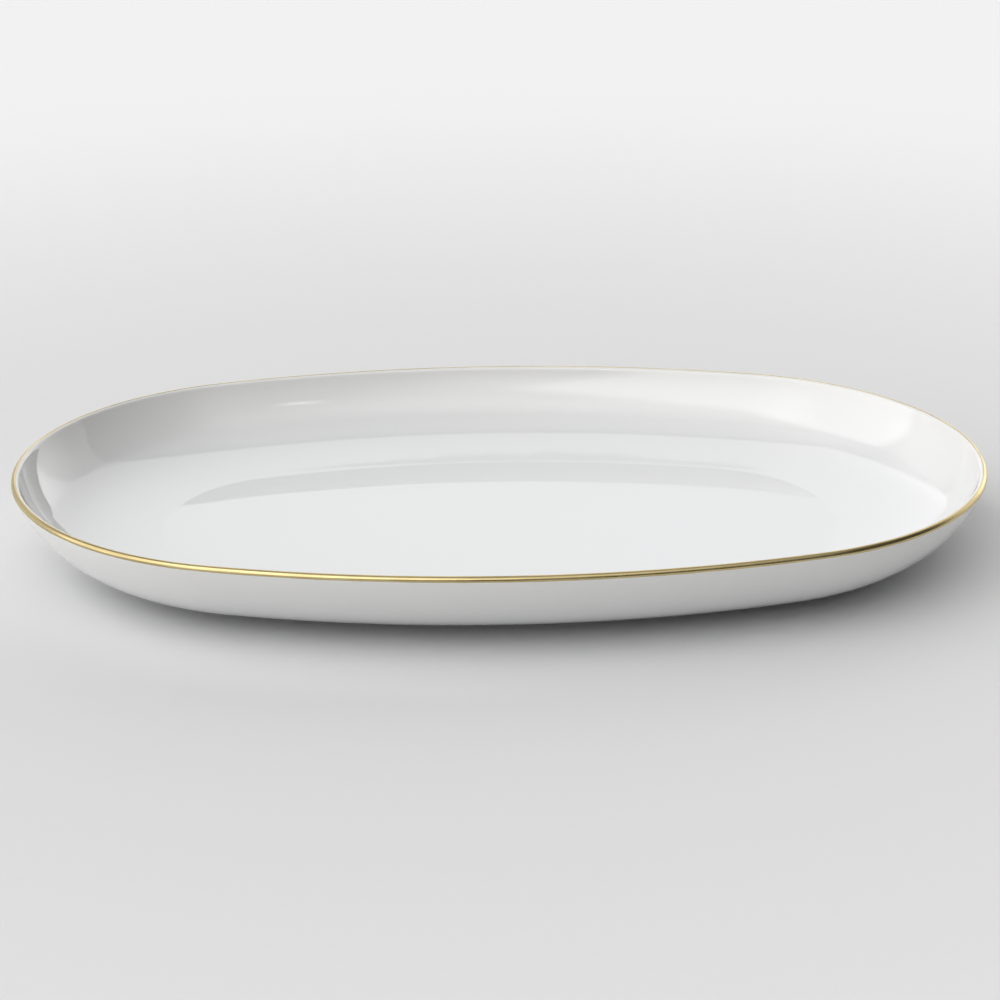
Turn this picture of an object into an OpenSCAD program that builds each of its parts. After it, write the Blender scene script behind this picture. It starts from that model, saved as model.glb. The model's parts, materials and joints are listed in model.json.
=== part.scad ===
// Oval coupe platter in glazed bone china with a gilded lip.
// The plan is a four-centre oval. Every section of the wall, the foot and the coats is drawn
// once, by its distance in from the rim and its height, and is swept round the oval's four arcs.
// Origin: centre of the oval, on the plane that the foot ring stands on. +X is the length.

/* [Plan] */
// Overall length over the glazed lip
length = 390; // [340:1:460]
// Overall width over the glazed lip
width = 245; // [205:1:300]

/* [Well and wall] */
// Depth of the well, from the top of the lip to the floor
well_depth = 27; // [20:0.5:36]
// Thickness of the fully rounded lip, glaze included
lip_thickness = 3; // [2.4:0.1:4.5]
// How much larger the wall's outside radius is than its inside one: it thickens the belly
wall_swell = 10; // [8:0.1:11]
// Thickness of the floor, glaze included
floor_thickness = 4.5; // [3.7:0.1:6]

/* [Foot ring] */
// Depth of the recess inside the foot ring, from the ground to the floor's underside
recess_depth = 6.5; // [5.7:0.1:9]
// Distance from the lowest line of the belly in to the foot ring
foot_setback = 2.5; // [2:0.1:6]
// Width of the foot ring, glaze included
foot_width = 5; // [4:0.1:8]
// Radius of the hollow blends from the foot ring to the belly and to the recess
foot_blend = 1.2; // [0.8:0.1:1.8]
// Radius of the two ground corners of the foot ring
foot_round = 1.2; // [0.6:0.1:1.4]
// Height up to which the foot ring is left unglazed
bare_height = 1.4; // [1.2:0.1:2.1]

/* [Coats] */
// Thickness of the glaze
glaze = 0.25; // [0.15:0.05:0.4]
// Thickness that the gilding is drawn with
gold_thickness = 0.1; // [0.05:0.05:0.2]
// Lower edge of the gilding, in degrees below the lip's outermost line
gold_below = 15; // [5:1:19]
// Upper edge of the gilding, in degrees above the lip's outermost line
gold_above = 100; // [80:1:120]

/* [Backstamp] */
// Diameter of the printed ring
stamp_d = 24; // [16:1:34]
// Width of the printed ring's line
stamp_line = 1; // [0.6:0.1:2]
// Size across the corners of the printed lozenge
stamp_lozenge = 9; // [5:1:13]
// Thickness that the print is drawn with
stamp_thickness = 0.1; // [0.05:0.05:0.2]

/* [Hidden] */
$fn = 96;

// Plan: two end arcs and two side arcs, tangent where they join. The line from a side arc's
// centre through an end arc's centre to their join slopes as in a right triangle of 7, 24 and 25.
// The end arcs' centres are rounded to a hundredth of 7 mm, so every centre and radius is a
// round number, and the pieces swept round the four arcs meet face to face.
end_centre = 0.07 * round((length - width) * 7 / 12 / 0.07);
end_radius = length / 2 - end_centre;
side_centre = end_centre * 24 / 7;
side_radius = end_radius + end_centre * 25 / 7;
join_way = [280, 960];
end_outline = [[0, 0], [join_way[0], -join_way[1]], [join_way[1], 0], join_way];
side_outline = [[0, 0], join_way, [-join_way[0], join_way[1]]];

// Directions in a section, which is drawn by distance in from the rim and by height
inward = [1, 0];
rimward = [-1, 0];
up = [0, 1];
down = [0, -1];

// Section: the centres of the lip, the inside arc and the outside arc lie on one line, which
// slopes as in a right triangle of 44, 117 and 125. The inside radius is rounded to 0.1 mm.
lip_r = lip_thickness / 2;
wall_way = [0.936, 0.352];
wall_up = [-wall_way[1], wall_way[0]];
inside_r = 0.1 * round((well_depth / (1 - wall_way[1]) - lip_r) / 0.1);
outside_r = inside_r + wall_swell;
recess_roof = recess_depth;
floor_top = recess_roof + floor_thickness;
height = floor_top + (inside_r + lip_r) * (1 - wall_way[1]);
lip_c = [lip_r, height - lip_r];
inside_c = lip_c + (inside_r + lip_r) * wall_way;
outside_c = lip_c + (outside_r - lip_r) * wall_way;

// Section: the foot ring stands just inside the lowest line of the belly
belly_line = outside_c[0];
foot_height = outside_c[1] - outside_r;
foot_out = belly_line + foot_setback;
foot_in = foot_out + foot_width;
out_blend_c = [foot_out - foot_blend, foot_height - foot_blend];
in_blend_c = [foot_in + foot_blend, recess_roof - foot_blend];
plate_join = ceil(foot_in + 2 * foot_blend);

// Turns a section round an arc of radius r and keeps what lies within an outline seen from above
module sweep_arc(r, start, outline) {
    intersection() {
        rotate_extrude(angle = 180, start = start)
            translate([r, 0])
                mirror([1, 0])
                    children();
        linear_extrude(2 * height)
            polygon(outline);
    }
}

// Sweeps a section round the whole oval
module sweep_oval() {
    for (side = [0, 180])
        rotate([0, 0, side]) {
            translate([end_centre, 0])
                sweep_arc(end_radius, -90, end_outline)
                    children();
            translate([0, -side_centre])
                sweep_arc(side_radius, 0, side_outline)
                    children();
        }
}

// The oval itself, a given distance in from the rim
module oval(inset) {
    join = [end_centre + join_way[0], join_way[1]];
    for (side = [0, 180])
        rotate(side) {
            translate([end_centre, 0])
                intersection() {
                    circle(end_radius - inset);
                    polygon(end_outline);
                }
            intersection() {
                translate([0, -side_centre])
                    circle(side_radius - inset);
                polygon([[-end_centre, 0], [end_centre, 0], join, [-join[0], join[1]]]);
            }
        }
}

// A level plate that fills the oval inside the swept sections
module plate(low, high) {
    translate([0, 0, low])
        linear_extrude(high - low)
            oval(plate_join);
}

// A rectangle of a section, from one distance in from the rim to another and between two heights
module block(near, far, low, high) {
    polygon([[near, low], [far, low], [far, high], [near, high]]);
}

// Part of a ring round a centre, from one direction to another less than 180 degrees away
module band(centre, inner, outer, from, to) {
    translate(centre)
        intersection() {
            difference() {
                circle(outer);
                circle(inner);
            }
            polygon([[0, 0], 1000 * from, 1000 * (from + to), 1000 * to]);
        }
}

// The upper half of the lip, cut along the line on which the arcs' centres lie
module lip_half(r) {
    translate(lip_c)
        intersection() {
            circle(r);
            polygon(10 * [wall_way, wall_way + wall_up, wall_up - wall_way, -wall_way]);
        }
}

// The china under the outside arc, from the lip to the lowest line of the belly
module outside_slice(near, far, high) {
    intersection() {
        band(outside_c, inside_r / 2, outside_r - glaze, -wall_way, down);
        block(near, far, 0, high);
    }
}

// Fired china body: lip, wall between its two arcs, belly, seat of the foot ring and floor
module body_section() {
    lip_half(lip_r - glaze);
    difference() {
        outside_slice(0, inside_c[0], height);
        translate(inside_c)
            circle(inside_r + glaze);
    }
    outside_slice(inside_c[0], belly_line, floor_top - glaze);
    block(belly_line, foot_in - glaze, foot_height + glaze, floor_top - glaze);
    difference() {
        block(foot_in - glaze, in_blend_c[0], in_blend_c[1], floor_top - glaze);
        translate(in_blend_c)
            circle(foot_blend + glaze);
    }
    block(in_blend_c[0], plate_join, recess_roof + glaze, floor_top - glaze);
}

module body() {
    color("ivory")
        union() {
            sweep_oval()
                body_section();
            plate(recess_roof + glaze, floor_top - glaze);
        }
}

// Foot ring: a strip of china stuck on under the belly, with a rounded, unglazed ground edge
module foot_section() {
    outer = foot_out + glaze;
    inner = foot_in - glaze;
    difference() {
        block(out_blend_c[0], outer, out_blend_c[1], foot_height + glaze);
        translate(out_blend_c)
            circle(foot_blend + glaze);
    }
    block(outer, inner, foot_round, foot_height + glaze);
    block(outer + foot_round, inner - foot_round, 0, foot_round);
    band([outer + foot_round, foot_round], 0, foot_round, rimward, down);
    band([inner - foot_round, foot_round], 0, foot_round, inward, down);
}

module foot_ring() {
    color("linen")
        union()
            sweep_oval()
                foot_section();
}

// Glaze over the floor of the well, the wall, the lip, the belly and the foot ring's outer side
module coat_section() {
    block(inside_c[0], plate_join, floor_top - glaze, floor_top);
    band(inside_c, inside_r, inside_r + glaze, -wall_way, down);
    difference() {
        lip_half(lip_r);
        translate(lip_c)
            circle(lip_r - glaze);
    }
    band(outside_c, outside_r - glaze, outside_r, -wall_way, down);
    block(belly_line, out_blend_c[0], foot_height, foot_height + glaze);
    band(out_blend_c, foot_blend, foot_blend + glaze, inward, up);
    block(foot_out, foot_out + glaze, bare_height, out_blend_c[1]);
}

module glaze_coat() {
    color("white")
        union() {
            sweep_oval()
                coat_section();
            plate(floor_top - glaze, floor_top);
        }
}

// Glaze inside the recess, from the foot ring's inner side over its whole roof
module recess_section() {
    block(foot_in - glaze, foot_in, bare_height, in_blend_c[1]);
    band(in_blend_c, foot_blend, foot_blend + glaze, rimward, up);
    block(in_blend_c[0], plate_join, recess_roof, recess_roof + glaze);
}

module recess_glaze() {
    color("whitesmoke")
        union() {
            sweep_oval()
                recess_section();
            plate(recess_roof, recess_roof + glaze);
        }
}

// Gilding: a line painted over the outside and the top of the glazed lip
module gold_line() {
    gold_start = [-cos(gold_below), -sin(gold_below)];
    gold_end = [-cos(gold_above), sin(gold_above)];
    color("gold")
        union()
            sweep_oval()
                band(lip_c, lip_r, lip_r + gold_thickness, gold_end, gold_start);
}

// Backstamp: a plain printed ring and lozenge in the middle of the recess, with no lettering
module backstamp() {
    color("darkgoldenrod")
        translate([0, 0, recess_roof - stamp_thickness])
            linear_extrude(stamp_thickness) {
                difference() {
                    circle(d = stamp_d);
                    circle(d = stamp_d - 2 * stamp_line);
                }
                rotate(45)
                    square(stamp_lozenge / sqrt(2), center = true);
            }
}

body();
foot_ring();
glaze_coat();
recess_glaze();
gold_line();
backstamp();
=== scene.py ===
# Looks of an oval bone china platter: glazed china, bare foot edge, gilded lip and backstamp.
import json
import math
from collections import namedtuple

import bmesh
import bpy
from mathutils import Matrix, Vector


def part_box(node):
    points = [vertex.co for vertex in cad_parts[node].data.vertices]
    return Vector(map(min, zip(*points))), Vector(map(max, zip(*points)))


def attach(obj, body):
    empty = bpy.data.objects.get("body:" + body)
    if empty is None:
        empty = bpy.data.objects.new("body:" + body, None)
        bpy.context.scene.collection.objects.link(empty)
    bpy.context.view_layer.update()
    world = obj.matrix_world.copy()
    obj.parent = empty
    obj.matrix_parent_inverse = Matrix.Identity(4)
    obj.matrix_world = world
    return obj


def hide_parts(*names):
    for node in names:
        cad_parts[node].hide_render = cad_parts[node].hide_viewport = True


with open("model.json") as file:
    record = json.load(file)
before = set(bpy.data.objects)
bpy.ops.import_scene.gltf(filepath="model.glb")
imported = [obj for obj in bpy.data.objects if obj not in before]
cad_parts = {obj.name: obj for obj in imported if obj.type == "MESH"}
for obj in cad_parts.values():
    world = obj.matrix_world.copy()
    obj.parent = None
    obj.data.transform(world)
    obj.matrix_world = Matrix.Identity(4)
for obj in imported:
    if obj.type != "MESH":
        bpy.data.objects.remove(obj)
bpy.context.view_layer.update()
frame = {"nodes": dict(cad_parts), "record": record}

MM = 0.001

# The node that does arithmetic, in every tree here
MATH = "ShaderNodeMath"

# ---------------------------------------------------------------- sizes, from the frame
glaze_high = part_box("glaze_coat")[1]
foot_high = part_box("foot_ring")[1]
body_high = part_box("body")[1]
recess_low, recess_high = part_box("recess_glaze")
stamp_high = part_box("backstamp")[1]
mounts = {mount["name"]: mount for mount in frame["record"]["mounts"]}

HALF_LENGTH = glaze_high.x
HALF_WIDTH = glaze_high.y
HEIGHT = glaze_high.z
FLOOR = mounts["well_floor"]["pos_m"][2]
ROOF = stamp_high.z
SEAT = foot_high.z
GLAZE = glaze_high.x - body_high.x
BELLY = SEAT - GLAZE
BARE = recess_low.z

# ---------------------------------------------------------------- sizes, of the sections
# The plan is a four-centre oval. Where the rim's normal has turned by JOIN_ANGLE, the arc of an
# end hands over to the arc of a side.
JOIN_ANGLE = math.atan2(24, 7)

# A section is drawn by distance in from the rim and by height. The wall lies between two arcs
# whose centres are on one sloping line with the centre of the lip's round, and WALL_WAY is that
# line's direction, from a triangle of 44, 117 and 125.
LIP_R = 1.5 * MM
WALL_WAY = Vector((0.936, 0.352))
WALL_TILT = math.degrees(math.atan2(WALL_WAY.y, WALL_WAY.x))
WALL_LEAN = 180 + WALL_TILT
INSIDE_R = (HEIGHT - FLOOR) / (1 - WALL_WAY.y) - LIP_R
OUTSIDE_R = (HEIGHT - BELLY - LIP_R * (1 + WALL_WAY.y)) / (1 - WALL_WAY.y)
LIP_C = Vector((LIP_R, HEIGHT - LIP_R))
INSIDE_C = LIP_C + (INSIDE_R + LIP_R) * WALL_WAY
OUTSIDE_C = LIP_C + (OUTSIDE_R - LIP_R) * WALL_WAY

# The foot ring: its sides blend into the belly and into the roof of the recess, and its ground
# edge is a flat between two rounds
FOOT_BLEND = 1.2 * MM
FOOT_ROUND = 1.2 * MM
FOOT_OUT = HALF_LENGTH - foot_high.x + FOOT_BLEND
FOOT_IN = HALF_LENGTH - recess_high.x + GLAZE
OUT_BLEND_C = Vector((FOOT_OUT - FOOT_BLEND, BELLY - FOOT_BLEND))
IN_BLEND_C = Vector((FOOT_IN + FOOT_BLEND, ROOF - FOOT_BLEND))

# Where the level plates in the middle of the oval meet the sections
PLATE = FOOT_IN + 2 * FOOT_BLEND

# How the well's floor turns up into the wall: slopes in degrees at distances in from the rim, in
# millimetres. A faint fold rings the floor, then the slope holds for a little before it climbs.
# At the oval's two ends the fold lies END_REACH further in.
WELL_EASE = ((51, 0), (50.2, 4.7), (46.5, 5.1), (44.5, 5.9), (40, 7.3), (35, 9.2), (30, 12.2),
             (25, 17.5), (20, 26.5), (15, 38.5))
EASE_STEP = 0.4
END_REACH = 8 * MM

# The gilding: its thickness, how deep it sits in the glaze, the degrees that it covers round the
# lip below the outermost point and above it, and the degrees over which it thins out
GOLD = 0.1 * MM
GOLD_SUNK = 0.03 * MM
GOLD_BELOW = 15
GOLD_ABOVE = 100
GOLD_FEATHER = 12

# How much the painted edges of the gold and the wiped edges of the glaze wander, and the scale,
# per metre, of the noise that they follow
GOLD_WANDER = 0.14 * MM
GLAZE_WANDER = 0.22 * MM
WANDER_SCALE = 60.0

# Steps round a quarter of the oval
END_STEPS = 60
SIDE_STEPS = 24

# Steps along the sections, where HIDDEN is for the side of a glaze that lies on the china
WALL_STEPS = 22
BELLY_STEPS = 30
LIP_STEPS = 20
BLEND_STEPS = 8
ROLL_STEPS = 6
FOOT_STEPS = 10
GOLD_STEPS = 26
PLATE_RINGS = 22
HIDDEN_WALL_STEPS = 16
HIDDEN_BLEND_STEPS = 4
HIDDEN_RINGS = 4

# Points closer than WELD metres are made one, and faces under SLIVER square metres are left out
WELD = 1e-6
SLIVER = 1e-13

# ---------------------------------------------------------------- finishes' values
# The china's colour through thin glaze and through thick, then the height of each surface's bumps
CHINA_RIM = "#E3E2DF"
CHINA_WELL = "#E0E1E2"
GLAZE_SWIM = 0.05 * MM
GLAZE_PEEL = 0.0012 * MM
BISQUE_GRAIN = 0.02 * MM
GOLD_STREAK = 0.006 * MM

# ---------------------------------------------------------------- studio's values
# The room's lights, as seen from the platter. Each is a flat panel, given by the way to its
# middle as an azimuth and an elevation in degrees, the slopes from there to its left, right, low
# and high edges, the softness of its edges and its brightness.
PANELS = {
    "backdrop": (180, 0, -0.30, 0.80, -0.15, 1.45, 0.06, 1.12),
    "backdrop_right": (180, 0, 0.80, 4.50, -0.15, 1.45, 0.06, 0.6),
    "reflector_right": (138, 8, -0.34, 0.28, -0.20, 0.30, 0.26, 1.15),
    "backdrop_left": (-150, 10, -0.90, 0.25, -0.40, 0.60, 0.20, 0.7),
    "horizon_left": (-90, 0, -0.50, 0.50, -0.10, 0.22, 0.06, 0.75),
    "window_left": (-62, 32, -0.95, 0.95, -0.45, 0.70, 0.12, 1.72),
    "bank_front": (-28, 55, -0.55, 0.45, -0.40, 0.40, 0.20, 0.95),
    "bank_right": (22, 52, -0.40, 0.40, -0.35, 0.40, 0.20, 0.42),
    "ceiling": (180, 88, -0.60, 0.60, -0.50, 0.60, 0.25, 0.45),
    "lamp": (28, 51, -0.022, 0.022, -0.03, 0.03, 0.03, 3.0),
}

# The room's own brightness, and the cosine under which a panel is seen edge on and left out
ROOM_SHADE = 0.04
EDGE_ON = 0.02

# How far the floor reaches to each side, in metres
FLOOR_REACH = 5.0

# The camera stands off from a point at about the height of the lip, and looks a little below it.
# Both ways are an azimuth and an elevation in degrees, and the lens and the sensor are in
# millimetres.
SUBJECT = Vector((0, 0, 0.03757))
STAND_OFF = 1.1676
STAND_WAY = (-3.309, 20.173)
LOOK_WAY = (-3.285, 20.917)
LENS = 104.57
SENSOR = 36


# ---------------------------------------------------------------- sections
# One point of a section: near is how far in from the rim it lies, and shrink draws a ring of the
# level plates in towards the middle. inward and upward are how far an uneven edge moves the
# point, and reach is how much further in it lies at the oval's ends.
Point = namedtuple("Point", "near height shrink inward upward reach", defaults=(1.0, 0.0, 0.0, 0.0))


def arc(centre, radius, start, end, steps):
    """Points round a centre, from one angle to another in degrees."""
    turns = [math.radians(start + (end - start) * i / steps) for i in range(steps + 1)]
    return [Point(centre.x + radius * math.cos(t), centre.y + radius * math.sin(t)) for t in turns]


def plate(height, rings, reach=0.0):
    """A level plate, from the middle of the oval out to where the sections join it."""
    return [Point(PLATE, height, shrink=i / rings, reach=reach) for i in range(rings + 1)]


def rolled_edge(centre_near, start, end):
    """The glaze's round edge beside the bare foot, which was wiped by hand and so wanders."""
    centre = Vector((centre_near, BARE + GLAZE / 2))
    return [p._replace(upward=GLAZE_WANDER) for p in arc(centre, GLAZE / 2, start, end, ROLL_STEPS)]


def eased_wall_foot():
    """The turn from the well's floor up to the wall's arc, walked in small steps by its slopes,
    which are all scaled a little so that the last point lies on the arc."""
    first, last = WELL_EASE[0][0], WELL_EASE[-1][0]
    steps = round((first - last) / EASE_STEP)
    slopes = []
    for i in range(steps):
        near = first - (i + 0.5) * EASE_STEP
        (a, low), (b, high) = next(pair for pair in zip(WELL_EASE, WELL_EASE[1:]) if pair[1][0] <= near)
        slopes.append(math.tan(math.radians(low + (high - low) * (a - near) / (a - b))))
    meets = INSIDE_C.y - math.sqrt(INSIDE_R ** 2 - (INSIDE_C.x - last * MM) ** 2)
    scale = (meets - FLOOR) / (sum(slopes) * EASE_STEP * MM)
    height, line = FLOOR, []
    for i, slope in enumerate(slopes):
        line.append(Point((first - i * EASE_STEP) * MM, height, reach=END_REACH * (1 - i / steps)))
        height += slope * scale * EASE_STEP * MM
    return line


def coat_section():
    """Glaze over the well, the wall, the lip, the belly and the foot ring's outer side: first its
    surface, then the side that lies on the china."""
    eased_to = 180 + math.degrees(math.acos((INSIDE_C.x - WELL_EASE[-1][0] * MM) / INSIDE_R))
    skin = plate(FLOOR, PLATE_RINGS, END_REACH)
    skin += eased_wall_foot()
    skin += arc(INSIDE_C, INSIDE_R, eased_to, WALL_LEAN, WALL_STEPS)
    skin += arc(LIP_C, LIP_R, WALL_TILT, WALL_LEAN, LIP_STEPS)[1:]
    skin += arc(OUTSIDE_C, OUTSIDE_R, WALL_LEAN, 270, BELLY_STEPS)[1:]
    skin += arc(OUT_BLEND_C, FOOT_BLEND, 90, 0, BLEND_STEPS)
    skin += rolled_edge(FOOT_OUT + GLAZE / 2, 180, 360)
    back = arc(OUT_BLEND_C, FOOT_BLEND + GLAZE, 0, 90, HIDDEN_BLEND_STEPS)
    back += arc(OUTSIDE_C, OUTSIDE_R - GLAZE, 270, WALL_LEAN, HIDDEN_WALL_STEPS)
    back += arc(LIP_C, LIP_R - GLAZE, WALL_LEAN, WALL_TILT, LIP_STEPS // 2)[1:]
    back += arc(INSIDE_C, INSIDE_R + GLAZE, WALL_LEAN, 270, HIDDEN_WALL_STEPS)[1:]
    back += plate(FLOOR - GLAZE, HIDDEN_RINGS)[::-1]
    return skin + back


def recess_section():
    """Glaze inside the foot ring, over the whole roof of the recess."""
    skin = plate(ROOF, PLATE_RINGS)
    skin += arc(IN_BLEND_C, FOOT_BLEND, 90, 180, BLEND_STEPS)
    skin += rolled_edge(FOOT_IN - GLAZE / 2, 0, -180)
    back = arc(IN_BLEND_C, FOOT_BLEND + GLAZE, 180, 90, HIDDEN_BLEND_STEPS)
    back += plate(ROOF + GLAZE, HIDDEN_RINGS)[::-1]
    return skin + back


def foot_section():
    """The foot ring: a hollow blend to the belly, two sides and a rounded, flat ground edge."""
    outer, inner = FOOT_OUT + GLAZE, FOOT_IN - GLAZE
    outline = arc(OUT_BLEND_C, FOOT_BLEND + GLAZE, 90, 0, BLEND_STEPS)
    outline += arc(Vector((outer + FOOT_ROUND, FOOT_ROUND)), FOOT_ROUND, 180, 270, FOOT_STEPS)
    outline += arc(Vector((inner - FOOT_ROUND, FOOT_ROUND)), FOOT_ROUND, 270, 360, FOOT_STEPS)
    outline += [Point(inner, SEAT)]
    return outline + outline[:1]


def gold_section():
    """The gilded line: a film that thins out at both of its painted edges. The edges wander along
    the lip's round, and the film follows them less the further in it is."""
    start, end = 180 + GOLD_BELOW, 180 - GOLD_ABOVE
    film = []
    for i in range(GOLD_STEPS + 1):
        angle = start + (end - start) * i / GOLD_STEPS
        inside = min(start - angle, angle - end) / GOLD_FEATHER
        radius = LIP_R + GOLD * math.sin(min(inside, 1.0) * math.pi / 2)
        sway = GOLD_WANDER * max(0.0, 1 - inside / 2) * (1 if i > GOLD_STEPS / 2 else -1)
        across, up = math.cos(math.radians(angle)), math.sin(math.radians(angle))
        film.append(Point(LIP_C.x + radius * across, LIP_C.y + radius * up,
                          inward=sway * up, upward=-sway * across))
    under = arc(LIP_C, LIP_R - GOLD_SUNK, end, start, GOLD_STEPS // 2)
    under = [p._replace(inward=q.inward, upward=q.upward) for p, q in zip(under, film[::-2])]
    return film + under + film[:1]


# ---------------------------------------------------------------- nodes
def add(tree, kind, links=None, **settings):
    """Adds a node with its settings. links gives each input a value, an output of another node,
    or a node, which stands for its first output."""
    node = tree.nodes.new(kind)
    for name, value in settings.items():
        setattr(node, name, value)
    for socket, value in (links or {}).items():
        if isinstance(value, bpy.types.Node):
            value = value.outputs[0]
        if isinstance(value, bpy.types.NodeSocket):
            tree.links.new(value, node.inputs[socket])
        else:
            node.inputs[socket].default_value = value
    return node


# ---------------------------------------------------------------- the sweep round the oval
def oval_sweep_tree():
    """Sweeps a section, given as a line of points in the XZ plane, round a four-centre oval."""
    tree = bpy.data.node_groups.new("oval_sweep", "GeometryNodeTree")
    sockets = {
        "Geometry": "NodeSocketGeometry", "Half length": "NodeSocketFloat",
        "Half width": "NodeSocketFloat", "Join angle": "NodeSocketFloat",
        "End steps": "NodeSocketInt", "Side steps": "NodeSocketInt",
        "Wander scale": "NodeSocketFloat", "Seed": "NodeSocketFloat",
        "Material": "NodeSocketMaterial",
    }
    for name, kind in sockets.items():
        tree.interface.new_socket(name, in_out="INPUT", socket_type=kind)
    tree.interface.new_socket("Geometry", in_out="OUTPUT", socket_type="NodeSocketGeometry")
    given = add(tree, "NodeGroupInput").outputs

    # The oval's arcs: each line of centres is the long side of a 7, 24, 25 triangle
    longer = add(tree, MATH, {0: given["Half length"], 1: given["Half width"]}, operation="SUBTRACT")
    end_x = add(tree, MATH, {0: longer, 1: 7 / 6}, operation="MULTIPLY")
    end_r = add(tree, MATH, {0: given["Half length"], 1: end_x}, operation="SUBTRACT")
    side_y = add(tree, MATH, {0: end_x, 1: 24 / 7}, operation="MULTIPLY")
    side_r = add(tree, MATH, {0: end_x, 1: 25 / 7, 2: end_r}, operation="MULTIPLY_ADD")

    # A grid with one row for each section point and one column for each station round the oval,
    # which are the steps of four quarters and one more, on the first, that closes it
    quarter = add(tree, MATH, {0: given["End steps"], 1: given["Side steps"]}, operation="ADD")
    stations = add(tree, MATH, {0: quarter, 1: 4.0, 2: 1.0}, operation="MULTIPLY_ADD")
    size = add(tree, "GeometryNodeAttributeDomainSize", {"Geometry": given["Geometry"]})
    rows = size.outputs["Point Count"]
    grid = add(tree, "GeometryNodeMeshGrid", {"Vertices X": stations, "Vertices Y": rows})
    index = add(tree, "GeometryNodeInputIndex")
    column = add(tree, MATH, {0: index, 1: rows}, operation="DIVIDE")
    station = add(tree, MATH, {0: column}, operation="FLOOR")
    passed = add(tree, MATH, {0: station, 1: rows}, operation="MULTIPLY")
    row = add(tree, MATH, {0: index, 1: passed}, operation="SUBTRACT")

    # What the section holds at this row
    held = {}
    for name, kind in (("position", "FLOAT_VECTOR"), ("wander", "FLOAT_VECTOR"),
                       ("shrink", "FLOAT"), ("along", "FLOAT")):
        field = add(tree, "GeometryNodeInputNamedAttribute", {"Name": name}, data_type=kind)
        links = {"Geometry": given["Geometry"], "Value": field, "Index": row}
        held[name] = add(tree, "GeometryNodeSampleIndex", links, data_type=kind)
    place = add(tree, "ShaderNodeSeparateXYZ", {0: held["position"]}).outputs
    wander = add(tree, "ShaderNodeSeparateXYZ", {0: held["wander"]}).outputs

    # How far the rim's normal has turned at a station, within its quarter of the oval
    step = add(tree, MATH, {0: station, 1: quarter}, operation="PINGPONG")
    rest = add(tree, MATH, {0: math.pi / 2, 1: given["Join angle"]}, operation="SUBTRACT")
    links = {"Value": step, "From Max": given["End steps"], "To Max": given["Join angle"]}
    end_turn = add(tree, "ShaderNodeMapRange", links)
    links = {"Value": step, "From Min": given["End steps"], "From Max": quarter, "To Max": rest}
    side_turn = add(tree, "ShaderNodeMapRange", links)
    turn = add(tree, MATH, {0: end_turn, 1: side_turn}, operation="ADD")
    cosine = add(tree, MATH, {0: turn}, operation="COSINE")
    sine = add(tree, MATH, {0: turn}, operation="SINE")

    # The arc that the station is on
    on_side = add(tree, MATH, {0: step, 1: given["End steps"]}, operation="GREATER_THAN")
    on_end = add(tree, MATH, {0: 1.0, 1: on_side}, operation="SUBTRACT")
    end_share = add(tree, MATH, {0: on_end, 1: end_r}, operation="MULTIPLY")
    radius = add(tree, MATH, {0: on_side, 1: side_r, 2: end_share}, operation="MULTIPLY_ADD")
    centre_x = add(tree, MATH, {0: on_end, 1: end_x}, operation="MULTIPLY")
    centre_y = add(tree, MATH, {0: on_side, 1: side_y}, operation="MULTIPLY")

    # The quarter that it is in: X turns to minus over the middle two, and Y over the last two
    past = []
    for quarters in (1.0, 2.0, 3.0):
        mark = add(tree, MATH, {0: quarter, 1: quarters}, operation="MULTIPLY")
        past.append(add(tree, MATH, {0: station, 1: mark}, operation="GREATER_THAN"))
    left = add(tree, MATH, {0: past[0], 1: past[2]}, operation="SUBTRACT")
    sign_x = add(tree, MATH, {0: left, 1: -2.0, 2: 1.0}, operation="MULTIPLY_ADD")
    sign_y = add(tree, MATH, {0: past[1], 1: -2.0, 2: 1.0}, operation="MULTIPLY_ADD")

    def around(distance):
        """X and Y of the point at a distance out from the arc's centre, before any shrinking."""
        x = add(tree, MATH, {0: distance, 1: cosine, 2: centre_x}, operation="MULTIPLY_ADD")
        out = add(tree, MATH, {0: distance, 1: sine}, operation="MULTIPLY")
        y = add(tree, MATH, {0: out, 1: centre_y}, operation="SUBTRACT")
        return (add(tree, MATH, {0: x, 1: sign_x}, operation="MULTIPLY"),
                add(tree, MATH, {0: y, 1: sign_y}, operation="MULTIPLY"))

    # Uneven edges: one noise value for each station, the same for its whole section, stretched
    # from its usual quarter to three quarters into -1 to 1
    rim_x, rim_y = around(radius)
    rim = add(tree, "ShaderNodeCombineXYZ", {"X": rim_x, "Y": rim_y, "Z": given["Seed"]})
    links = {"Vector": rim, "Scale": given["Wander scale"], "Detail": 2.0}
    noise = add(tree, "ShaderNodeTexNoise", links)
    sway = add(tree, MATH, {0: noise, 1: 4.0, 2: -2.0}, operation="MULTIPLY_ADD")
    endways = add(tree, MATH, {0: cosine, 1: 2.0}, operation="POWER")
    reached = add(tree, MATH, {0: wander["Z"], 1: endways, 2: place["X"]}, operation="MULTIPLY_ADD")
    inset = add(tree, MATH, {0: sway, 1: wander["X"], 2: reached}, operation="MULTIPLY_ADD")
    height = add(tree, MATH, {0: sway, 1: wander["Y"], 2: place["Z"]}, operation="MULTIPLY_ADD")

    # The point's place on the swept surface
    distance = add(tree, MATH, {0: radius, 1: inset}, operation="SUBTRACT")
    full_x, full_y = around(distance)
    x = add(tree, MATH, {0: full_x, 1: held["shrink"]}, operation="MULTIPLY")
    y = add(tree, MATH, {0: full_y, 1: held["shrink"]}, operation="MULTIPLY")
    position = add(tree, "ShaderNodeCombineXYZ", {"X": x, "Y": y, "Z": height})

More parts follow.
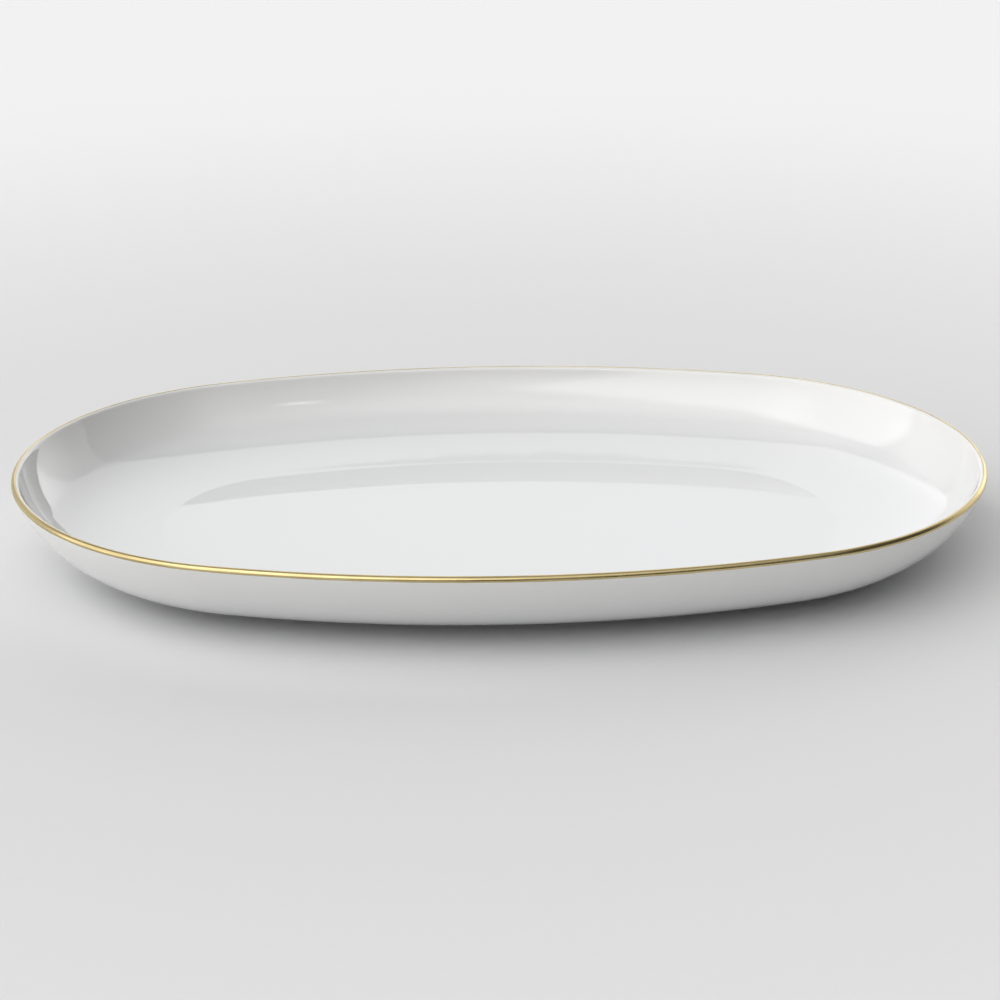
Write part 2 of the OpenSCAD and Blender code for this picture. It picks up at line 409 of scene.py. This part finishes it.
    # Lengths round the rim and along the section, in metres, for finishes that follow the rim
    end_run = add(tree, MATH, {0: end_r, 1: given["Join angle"]}, operation="MULTIPLY")
    quarter_run = add(tree, MATH, {0: side_r, 1: rest, 2: end_run}, operation="MULTIPLY_ADD")
    half_run = add(tree, MATH, {0: quarter_run, 1: 2.0}, operation="MULTIPLY")
    on_end_run = add(tree, MATH, {0: end_r, 1: end_turn}, operation="MULTIPLY")
    run = add(tree, MATH, {0: side_r, 1: side_turn, 2: on_end_run}, operation="MULTIPLY_ADD")
    quarters = add(tree, MATH, {0: station, 1: quarter}, operation="DIVIDE")
    part = add(tree, MATH, {0: quarters}, operation="FLOOR")
    odd = add(tree, MATH, {0: part, 1: 2.0}, operation="MODULO")
    pairs = add(tree, MATH, {0: part, 1: 2.0}, operation="DIVIDE")
    halves = add(tree, MATH, {0: pairs}, operation="CEIL")
    onward = add(tree, MATH, {0: odd, 1: -2.0, 2: 1.0}, operation="MULTIPLY_ADD")
    signed_run = add(tree, MATH, {0: run, 1: onward}, operation="MULTIPLY")
    round_rim = add(tree, MATH, {0: halves, 1: half_run, 2: signed_run}, operation="MULTIPLY_ADD")
    strip = add(tree, "ShaderNodeCombineXYZ", {"X": round_rim, "Y": held["along"]})

    keep = add(tree, "GeometryNodeCaptureAttribute", {0: grid}, domain="POINT")
    keep.capture_items.new("VECTOR", "strip")
    tree.links.new(strip.outputs[0], keep.inputs[1])
    placed = add(tree, "GeometryNodeSetPosition", {"Geometry": keep, "Position": position})
    links = {"Geometry": placed, "Name": "UVMap", "Value": keep.outputs[1]}
    mapped = add(tree, "GeometryNodeStoreNamedAttribute", links, data_type="FLOAT2", domain="CORNER")
    merged = add(tree, "GeometryNodeMergeByDistance", {"Geometry": mapped, "Distance": WELD})
    smooth = add(tree, "GeometryNodeSetShadeSmooth", {"Geometry": merged})
    real = add(tree, "GeometryNodeRealizeInstances", {"Geometry": smooth})
    dressed = add(tree, "GeometryNodeSetMaterial", {"Geometry": real, "Material": given["Material"]})
    add(tree, "NodeGroupOutput", {0: dressed})
    return tree


def section_line(name, section):
    """A section as a line of points in the XZ plane, with what the sweep reads from each."""
    line = bpy.data.meshes.new(name)
    ends = [(i, i + 1) for i in range(len(section) - 1)]
    line.from_pydata([(p.near, 0.0, p.height) for p in section], ends, [])
    lengths = [0.0]
    for a, b in zip(section, section[1:]):
        lengths.append(lengths[-1] + math.dist(a[:2], b[:2]))
    shrink = line.attributes.new("shrink", "FLOAT", "POINT")
    shrink.data.foreach_set("value", [p.shrink for p in section])
    wander = line.attributes.new("wander", "FLOAT_VECTOR", "POINT")
    wander.data.foreach_set("vector", [move for p in section for move in (p.inward, p.upward, p.reach)])
    along = line.attributes.new("along", "FLOAT", "POINT")
    along.data.foreach_set("value", lengths)
    return line


def swept(name, section, material, seed):
    """Sweeps a section round the oval with the tree above and keeps the result as a plain mesh."""
    source = bpy.data.objects.new(name + "_source", section_line(name + "_section", section))
    bpy.context.scene.collection.objects.link(source)
    modifier = source.modifiers.new("oval_sweep", "NODES")
    modifier.node_group = sweep_tree
    given = {
        "Half length": HALF_LENGTH, "Half width": HALF_WIDTH, "Join angle": JOIN_ANGLE,
        "End steps": END_STEPS, "Side steps": SIDE_STEPS, "Wander scale": WANDER_SCALE,
        "Seed": seed, "Material": material,
    }
    for item in sweep_tree.interface.items_tree:
        if item.in_out == "INPUT" and item.name in given:
            modifier[item.identifier] = given[item.name]
    bpy.context.view_layer.update()
    seen = bpy.context.evaluated_depsgraph_get()
    mesh = bpy.data.meshes.new_from_object(source.evaluated_get(seen))
    bpy.data.objects.remove(source)
    shape = bmesh.new()
    shape.from_mesh(mesh)
    slivers = [face for face in shape.faces if face.calc_area() < SLIVER]
    bmesh.ops.delete(shape, geom=slivers, context="FACES_ONLY")
    bmesh.ops.recalc_face_normals(shape, faces=shape.faces)
    shape.to_mesh(mesh)
    shape.free()
    mesh.name = name
    piece = bpy.data.objects.new(name, mesh)
    bpy.context.scene.collection.objects.link(piece)
    return piece


# ---------------------------------------------------------------- finishes
def colour(code):
    """An sRGB hex colour as the linear colour that the shaders take."""
    parts = [int(code[i:i + 2], 16) / 255 for i in (1, 3, 5)]
    return [c / 12.92 if c <= 0.04045 else ((c + 0.055) / 1.055) ** 2.4 for c in parts] + [1.0]


def per_metre(millimetres):
    """The texture scale that makes a pattern's grain this many millimetres."""
    return 1000.0 / millimetres


def new_finish(name):
    """A material with an empty node tree."""
    material = bpy.data.materials.new(name)
    material.use_nodes = True
    material.node_tree.nodes.clear()
    return material, material.node_tree


def finished(material, links):
    """A material, given its shader."""
    shader = add(material.node_tree, "ShaderNodeBsdfPrincipled", links)
    add(material.node_tree, "ShaderNodeOutputMaterial", {"Surface": shader})
    return material


def clear_glaze_finish():
    """Clear lead-free glaze on bone china, dipped and fired: a glass-smooth skin over warm white.
    The eye gets sharp reflections that swim a little, a cooler tint where the glaze ran thick,
    and a rare pinhole."""
    material, tree = new_finish("glazed_bone_china")
    place = add(tree, "ShaderNodeTexCoord").outputs["Object"]

    # Thicker glaze low in the well and in slow pools
    pool = add(tree, "ShaderNodeTexNoise", {"Vector": place, "Scale": per_metre(46), "Detail": 2.0})
    height = add(tree, "ShaderNodeSeparateXYZ", {0: place}).outputs["Z"]
    low = add(tree, "ShaderNodeMapRange",
              {"Value": height, "From Min": HEIGHT, "From Max": FLOOR, "To Min": 0.0, "To Max": 0.75})
    depth = add(tree, MATH, {0: pool, 1: 0.3, 2: low}, operation="MULTIPLY_ADD")
    tint = add(tree, "ShaderNodeMix", {0: depth, 6: colour(CHINA_RIM), 7: colour(CHINA_WELL)},
               data_type="RGBA").outputs[2]

    # A pinhole wherever the middle of one of the pattern's cells happens to lie on the surface
    cells = add(tree, "ShaderNodeTexVoronoi", {"Vector": place, "Scale": per_metre(38)})
    pinhole = add(tree, "ShaderNodeMapRange",
                  {"Value": cells.outputs["Distance"], "From Min": 0.004, "From Max": 0.012,
                   "To Min": 0.16, "To Max": 0.0})
    specked = add(tree, "ShaderNodeMix", {0: pinhole, 6: tint, 7: colour("#8E867A")},
                  data_type="RGBA").outputs[2]

    # A gloss that is a little uneven, over a slow swim and the fine peel of fired glaze
    smear = add(tree, "ShaderNodeTexNoise", {"Vector": place, "Scale": per_metre(9), "Detail": 4.0})
    gloss = add(tree, "ShaderNodeMapRange",
                {"Value": smear, "From Min": 0.35, "From Max": 0.75, "To Min": 0.03, "To Max": 0.055})
    swim = add(tree, "ShaderNodeTexNoise", {"Vector": place, "Scale": per_metre(24), "Detail": 1.0})
    swum = add(tree, "ShaderNodeBump", {"Height": swim, "Strength": 1.0, "Distance": GLAZE_SWIM})
    peel = add(tree, "ShaderNodeTexNoise", {"Vector": place, "Scale": per_metre(2.2), "Detail": 1.0})
    skin = add(tree, "ShaderNodeBump",
               {"Height": peel, "Strength": 1.0, "Distance": GLAZE_PEEL, "Normal": swum})
    return finished(material, {"Base Color": specked, "Roughness": gloss, "Normal": skin, "IOR": 1.52,
                               "Coat Weight": 0.35, "Coat Roughness": 0.015, "Coat IOR": 1.5})


def bisque_finish(name, bone, scuff, scuffing):
    """Bone china left bare of glaze, fired and then rubbed or ground: the eye gets a matt, close
    grain, faintly marked in patches by what it rubs on."""
    material, tree = new_finish(name)
    place = add(tree, "ShaderNodeTexCoord").outputs["Object"]
    grain = add(tree, "ShaderNodeTexNoise", {"Vector": place, "Scale": per_metre(0.7), "Detail": 5.0})
    patch = add(tree, "ShaderNodeTexNoise",
                {"Vector": place, "Scale": per_metre(12), "Detail": 6.0, "Roughness": 0.7})
    marks = add(tree, "ShaderNodeMapRange",
                {"Value": patch, "From Min": 0.5, "From Max": 0.68, "To Min": 0.0, "To Max": scuffing})
    marked = add(tree, "ShaderNodeMix", {0: marks, 6: colour(bone), 7: colour(scuff)},
                 data_type="RGBA").outputs[2]
    rough = add(tree, "ShaderNodeMapRange", {"Value": grain, "To Min": 0.5, "To Max": 0.78})
    bump = add(tree, "ShaderNodeBump", {"Height": grain, "Strength": 1.0, "Distance": BISQUE_GRAIN})
    return finished(material, {"Base Color": marked, "Roughness": rough, "Normal": bump, "IOR": 1.5,
                               "Specular IOR Level": 0.35})


def burnished_gold_finish():
    """Bright gold painted on the lip, fired and burnished along it with agate. The eye gets a
    sharp metal glint broken by long brush streaks, and a browner tone where the film is thin."""
    material, tree = new_finish("burnished_gold")
    strip = add(tree, "ShaderNodeUVMap", uv_map="UVMap")

    # Streaks 26 mm long and 0.45 mm wide, along the rim
    lengthways = add(tree, "ShaderNodeMapping",
                     {"Vector": strip, "Scale": (per_metre(26), per_metre(0.45), 1.0)})
    streaks = add(tree, "ShaderNodeTexNoise",
                  {"Vector": lengthways, "Scale": 1.0, "Detail": 4.0, "Roughness": 0.62})
    load = add(tree, "ShaderNodeTexNoise", {"Vector": strip, "Scale": per_metre(34), "Detail": 2.0})
    spent = add(tree, MATH, {0: load, 1: 0.6, 2: streaks}, operation="MULTIPLY_ADD")
    thin = add(tree, "ShaderNodeMapRange", {"Value": spent, "From Min": 0.62, "From Max": 1.0})
    tone = add(tree, "ShaderNodeMix", {0: thin, 6: colour("#D8C693"), 7: colour("#B5A274")},
               data_type="RGBA").outputs[2]
    rough = add(tree, "ShaderNodeMapRange",
                {"Value": streaks, "From Min": 0.3, "From Max": 0.75, "To Min": 0.2, "To Max": 0.38})
    bump = add(tree, "ShaderNodeBump", {"Height": streaks, "Strength": 1.0, "Distance": GOLD_STREAK})
    return finished(material, {"Base Color": tone, "Roughness": rough, "Normal": bump, "Metallic": 1.0})


def backstamp_finish():
    """Ceramic ink screened on the glaze and fired in: the eye gets a soft grey-gold line under a
    thin gloss, mottled where the ink is thin."""
    material, tree = new_finish("printed_backstamp_ink")
    place = add(tree, "ShaderNodeTexCoord").outputs["Object"]
    dots = add(tree, "ShaderNodeTexVoronoi", {"Vector": place, "Scale": per_metre(0.5)})
    blots = add(tree, "ShaderNodeTexNoise", {"Vector": place, "Scale": per_metre(3), "Detail": 3.0})
    ink = add(tree, MATH, {0: dots.outputs["Distance"], 1: blots}, operation="MULTIPLY")
    tone = add(tree, "ShaderNodeMix", {0: ink, 6: colour("#7C7060"), 7: colour("#B7AC98")},
               data_type="RGBA").outputs[2]
    rough = add(tree, "ShaderNodeMapRange", {"Value": blots, "To Min": 0.25, "To Max": 0.5})
    return finished(material, {"Base Color": tone, "Roughness": rough, "IOR": 1.5, "Coat Weight": 0.5,
                               "Coat Roughness": 0.03})


def studio_paper_finish():
    """Matt white background paper: the eye gets a pale floor with a faint fibre. It is a little
    greyer round the platter than away from it, which is painted shade standing in for the set's falloff."""
    material, tree = new_finish("white_studio_paper")
    place = add(tree, "ShaderNodeTexCoord").outputs["Object"]
    fibre = add(tree, "ShaderNodeTexNoise", {"Vector": place, "Scale": per_metre(6), "Detail": 4.0})
    away = add(tree, "ShaderNodeVectorMath", {0: place}, operation="LENGTH").outputs["Value"]
    ragged = add(tree, MATH, {0: fibre, 1: 0.05, 2: away}, operation="MULTIPLY_ADD")
    # Painted shade: the floor's colour goes greyer near the platter and paler away from it, standing in
    # for the shadow and light falloff round the platter
    painted_shade_falloff = add(tree, "ShaderNodeMapRange", {"Value": ragged, "From Min": 0.2, "From Max": 0.9},
              interpolation_type="SMOOTHSTEP")
    tone = add(tree, "ShaderNodeMix", {0: painted_shade_falloff, 6: colour("#DEDEDE"), 7: colour("#F4F4F4")},
               data_type="RGBA").outputs[2]
    return finished(material, {"Base Color": tone, "Roughness": 0.9, "Specular IOR Level": 0.1})


# ---------------------------------------------------------------- studio
def view_direction(azimuth, elevation):
    """The way from the subject to a viewer, azimuth 0 being in front and elevation up."""
    a, e = math.radians(azimuth), math.radians(elevation)
    return Vector((math.sin(a) * math.cos(e), -math.cos(a) * math.cos(e), math.sin(e)))


def studio_floor():
    """A wide flat floor under the platter."""
    mesh = bpy.data.meshes.new("studio_floor")
    corners = [(x * FLOOR_REACH, y * FLOOR_REACH, 0) for x, y in ((-1, -1), (1, -1), (1, 1), (-1, 1))]
    mesh.from_pydata(corners, [], [range(len(corners))])
    mesh.materials.append(studio_paper_finish())
    floor = bpy.data.objects.new("studio_floor", mesh)
    bpy.context.scene.collection.objects.link(floor)


def studio_world():
    """A dim room with soft panels of light. A panel's edges are straight, as a soft box's are."""
    world = bpy.data.worlds.new("studio_room")
    world.use_nodes = True
    tree = world.node_tree
    tree.nodes.clear()
    way = add(tree, "ShaderNodeTexCoord").outputs["Generated"]
    total = ROOM_SHADE
    for name, (azimuth, elevation, left, right, low, high, soft, bright) in PANELS.items():
        middle = view_direction(azimuth, elevation)
        side = Vector((middle.y, -middle.x, 0)).normalized()
        ahead, sideways, upwards = [
            add(tree, "ShaderNodeVectorMath", {0: way, 1: axis}, operation="DOT_PRODUCT").outputs["Value"]
            for axis in (middle, side, side.cross(middle))]
        lit = add(tree, MATH, {0: ahead, 1: EDGE_ON}, operation="GREATER_THAN")
        ahead = add(tree, MATH, {0: ahead, 1: EDGE_ON}, operation="MAXIMUM")
        for along, start, end in ((sideways, left, right), (upwards, low, high)):
            slope = add(tree, MATH, {0: along, 1: ahead}, operation="DIVIDE")
            rise = {"Value": slope, "From Min": start - soft, "From Max": start + soft}
            fall = {"Value": slope, "From Min": end - soft, "From Max": end + soft,
                    "To Min": 1.0, "To Max": 0.0}
            for edge in (rise, fall):
                inside = add(tree, "ShaderNodeMapRange", edge, interpolation_type="SMOOTHSTEP")
                lit = add(tree, MATH, {0: lit, 1: inside}, operation="MULTIPLY")
        total = add(tree, MATH, {0: lit, 1: bright, 2: total}, operation="MULTIPLY_ADD", name=name)
    room = add(tree, "ShaderNodeBackground", {"Color": colour("#FFFFFF"), "Strength": total})
    add(tree, "ShaderNodeOutputWorld", {"Surface": room})
    return world


def studio_camera():
    """The camera, on its stand."""
    lens = bpy.data.cameras.new("camera")
    lens.lens = LENS
    lens.sensor_width = SENSOR
    lens.clip_start = 0.05
    lens.clip_end = 30
    camera = bpy.data.objects.new("camera", lens)
    camera.location = SUBJECT + STAND_OFF * view_direction(*STAND_WAY)
    camera.rotation_euler = (-view_direction(*LOOK_WAY)).to_track_quat("-Z", "Y").to_euler()
    bpy.context.scene.collection.objects.link(camera)
    return camera


# ---------------------------------------------------------------- pieces
sweep_tree = oval_sweep_tree()
glaze = clear_glaze_finish()
bisque = bisque_finish("bone_china_bisque", "#EFEBE2", "#E0DACE", 0.5)
ground = bisque_finish("ground_bisque", "#E6E1D6", "#A7A49F", 0.3)
gold = burnished_gold_finish()
backstamp_ink = backstamp_finish()

# Each made piece, with the CAD node that it stands for, its slot, section, finish and seed
made = (
    ("platter_glaze", "glaze_coat", "clear_glaze", coat_section(), glaze, 0.3),
    ("recess_glaze_skin", "recess_glaze", "clear_glaze", recess_section(), glaze, 1.7),
    ("ground_foot_ring", "foot_ring", "bare_foot", foot_section(), ground, 0.0),
    ("gilded_lip", "gold_line", "burnished_gold", gold_section(), gold, 2.9),
)
for name, node, slot, section, material, seed in made:
    piece = swept(name, section, material, seed)
    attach(piece, "root")
    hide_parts(node)

for node, material in (("body", bisque), ("backstamp", backstamp_ink)):
    for material_slot in frame["nodes"][node].material_slots:
        material_slot.material = material

# ---------------------------------------------------------------- the room and the view of it
studio_floor()
bpy.context.scene.world = studio_world()
bpy.context.scene.camera = studio_camera()
bpy.context.scene.view_settings.view_transform = "Standard"
